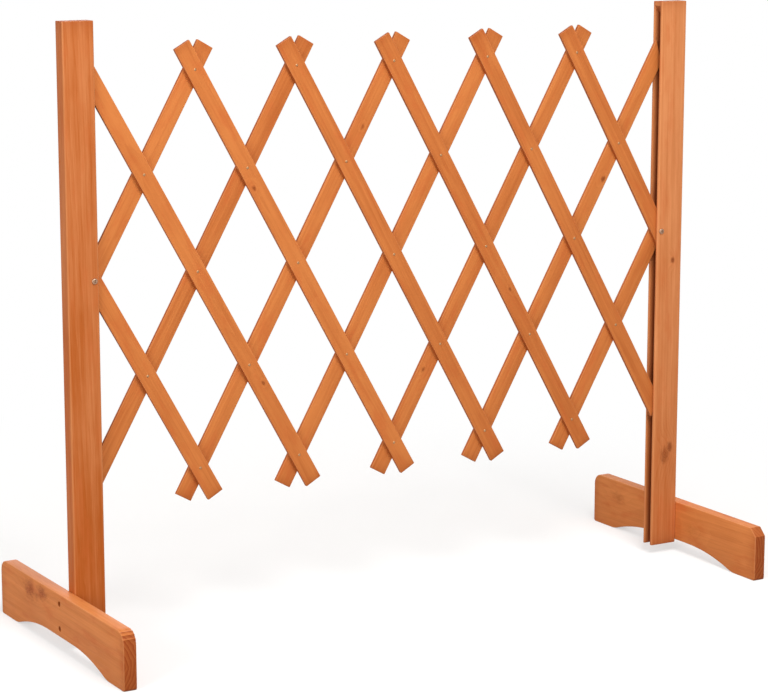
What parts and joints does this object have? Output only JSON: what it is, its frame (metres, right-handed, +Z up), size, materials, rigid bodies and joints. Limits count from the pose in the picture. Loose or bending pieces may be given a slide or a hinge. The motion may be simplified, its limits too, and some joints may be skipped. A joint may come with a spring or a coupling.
{
  "type": "free-standing expandable trellis fence",
  "caption": "Free-standing wooden trellis fence: a folding lattice of crossed slats between two grooved posts on arched feet, drawn out wide or folded up narrow to carry climbing plants.",
  "frame": {"origin": "on the ground, under the middle of the fence", "axes": "+X along the fence to the right seen from the front, +Y from front to back, +Z up"},
  "size_m": [1.1088, 0.44, 0.9],
  "materials": {
    "post_wood": "orange-brown stained fir, planed, matt",
    "foot_wood": "orange-brown stained fir, sawn and sanded, matt",
    "slat_wood": "orange-brown stained fir, planed thin, matt",
    "screw_steel": "zinc-plated steel",
    "nail_steel": "bright wire nail, hammered over"
  },
  "bodies": {
    "left_frame": {"left_post": "post_wood", "left_foot": "foot_wood", "left_foot_screws": "screw_steel", "left_post_screw": "screw_steel"},
    "front_slat_1": {"front_slat_1": "slat_wood", "front_slat_1_nails": "nail_steel"},
    "front_slat_2": {"front_slat_2": "slat_wood", "front_slat_2_nails": "nail_steel"},
    "front_slat_3": {"front_slat_3": "slat_wood", "front_slat_3_nails": "nail_steel"},
    "front_slat_4": {"front_slat_4": "slat_wood", "front_slat_4_nails": "nail_steel"},
    "front_slat_5": {"front_slat_5": "slat_wood", "front_slat_5_nails": "nail_steel"},
    "front_slat_6": {"front_slat_6": "slat_wood", "front_slat_6_nails": "nail_steel"},
    "front_slat_7": {"front_slat_7": "slat_wood", "front_slat_7_nails": "nail_steel"},
    "back_slat_1": {"back_slat_1": "slat_wood"},
    "back_slat_2": {"back_slat_2": "slat_wood"},
    "back_slat_3": {"back_slat_3": "slat_wood"},
    "back_slat_4": {"back_slat_4": "slat_wood"},
    "back_slat_5": {"back_slat_5": "slat_wood"},
    "back_slat_6": {"back_slat_6": "slat_wood"},
    "back_slat_7": {"back_slat_7": "slat_wood"},
    "right_frame": {"right_post": "post_wood", "right_foot": "foot_wood", "right_foot_screws": "screw_steel", "right_post_screw": "screw_steel"}
  },
  "joints": [
    {"name": "lattice_fold", "type": "hinge", "parent": "left_frame", "child": "front_slat_1", "pos_m": [-0.49341, 0, 0.535], "axis": [0, 1, 0], "range_deg": [-3.3, 24]},
    {"name": "back_slat_1_pivot", "type": "hinge", "parent": "left_frame", "child": "back_slat_1", "pos_m": [-0.49341, 0, 0.535], "axis": [0, 1, 0], "range_deg": [-25, 4.3]},
    {"name": "back_slat_2_pivot", "type": "hinge", "parent": "front_slat_1", "child": "back_slat_2", "pos_m": [-0.41117, 0, 0.38965], "axis": [0, 1, 0], "range_deg": [-49, 7.6]},
    {"name": "front_slat_2_pivot", "type": "hinge", "parent": "back_slat_1", "child": "front_slat_2", "pos_m": [-0.41117, 0, 0.68035], "axis": [0, 1, 0], "range_deg": [-7.6, 49]},
    {"name": "back_slat_3_pivot", "type": "hinge", "parent": "front_slat_1", "child": "back_slat_3", "pos_m": [-0.32894, 0, 0.2443], "axis": [0, 1, 0], "range_deg": [-49, 7.6]},
    {"name": "front_slat_3_pivot", "type": "hinge", "parent": "back_slat_2", "child": "front_slat_3", "pos_m": [-0.2467, 0, 0.68035], "axis": [0, 1, 0], "range_deg": [-7.6, 49]},
    {"name": "front_slat_4_pivot", "type": "hinge", "parent": "back_slat_2", "child": "front_slat_4", "pos_m": [-0.16447, 0, 0.8257], "axis": [0, 1, 0], "range_deg": [-7.6, 49]},
    {"name": "back_slat_4_pivot", "type": "hinge", "parent": "front_slat_2", "child": "back_slat_4", "pos_m": [-0.16447, 0, 0.2443], "axis": [0, 1, 0], "range_deg": [-49, 7.6]},
    {"name": "front_slat_5_pivot", "type": "hinge", "parent": "back_slat_3", "child": "front_slat_5", "pos_m": [0, 0, 0.8257], "axis": [0, 1, 0], "range_deg": [-7.6, 49]},
    {"name": "front_slat_6_pivot", "type": "hinge", "parent": "back_slat_4", "child": "front_slat_6", "pos_m": [0.16447, 0, 0.8257], "axis": [0, 1, 0], "range_deg": [-7.6, 49]},
    {"name": "back_slat_5_pivot", "type": "hinge", "parent": "front_slat_3", "child": "back_slat_5", "pos_m": [0, 0, 0.2443], "axis": [0, 1, 0], "range_deg": [-49, 7.6]},
    {"name": "back_slat_6_pivot", "type": "hinge", "parent": "front_slat_4", "child": "back_slat_6", "pos_m": [0.16447, 0, 0.2443], "axis": [0, 1, 0], "range_deg": [-49, 7.6]},
    {"name": "front_slat_7_pivot", "type": "hinge", "parent": "back_slat_5", "child": "front_slat_7", "pos_m": [0.32894, 0, 0.8257], "axis": [0, 1, 0], "range_deg": [-7.6, 49]},
    {"name": "back_slat_7_pivot", "type": "hinge", "parent": "front_slat_5", "child": "back_slat_7", "pos_m": [0.32894, 0, 0.2443], "axis": [0, 1, 0], "range_deg": [-49, 7.6]},
    {"name": "right_frame_pivot", "type": "hinge", "parent": "back_slat_7", "child": "right_frame", "pos_m": [0.49341, 0, 0.535], "axis": [0, 1, 0], "range_deg": [-4.3, 25]}
  ],
  "couplings": [
    {"joint": "back_slat_1_pivot", "follows": "lattice_fold", "ratio": -1},
    {"joint": "back_slat_2_pivot", "follows": "lattice_fold", "ratio": -2},
    {"joint": "front_slat_2_pivot", "follows": "lattice_fold", "ratio": 2},
    {"joint": "back_slat_3_pivot", "follows": "lattice_fold", "ratio": -2},
    {"joint": "front_slat_3_pivot", "follows": "lattice_fold", "ratio": 2},
    {"joint": "front_slat_4_pivot", "follows": "lattice_fold", "ratio": 2},
    {"joint": "back_slat_4_pivot", "follows": "lattice_fold", "ratio": -2},
    {"joint": "front_slat_5_pivot", "follows": "lattice_fold", "ratio": 2},
    {"joint": "front_slat_6_pivot", "follows": "lattice_fold", "ratio": 2},
    {"joint": "back_slat_5_pivot", "follows": "lattice_fold", "ratio": -2},
    {"joint": "back_slat_6_pivot", "follows": "lattice_fold", "ratio": -2},
    {"joint": "front_slat_7_pivot", "follows": "lattice_fold", "ratio": 2},
    {"joint": "back_slat_7_pivot", "follows": "lattice_fold", "ratio": -2},
    {"joint": "right_frame_pivot", "follows": "lattice_fold", "ratio": 1}
  ]
}
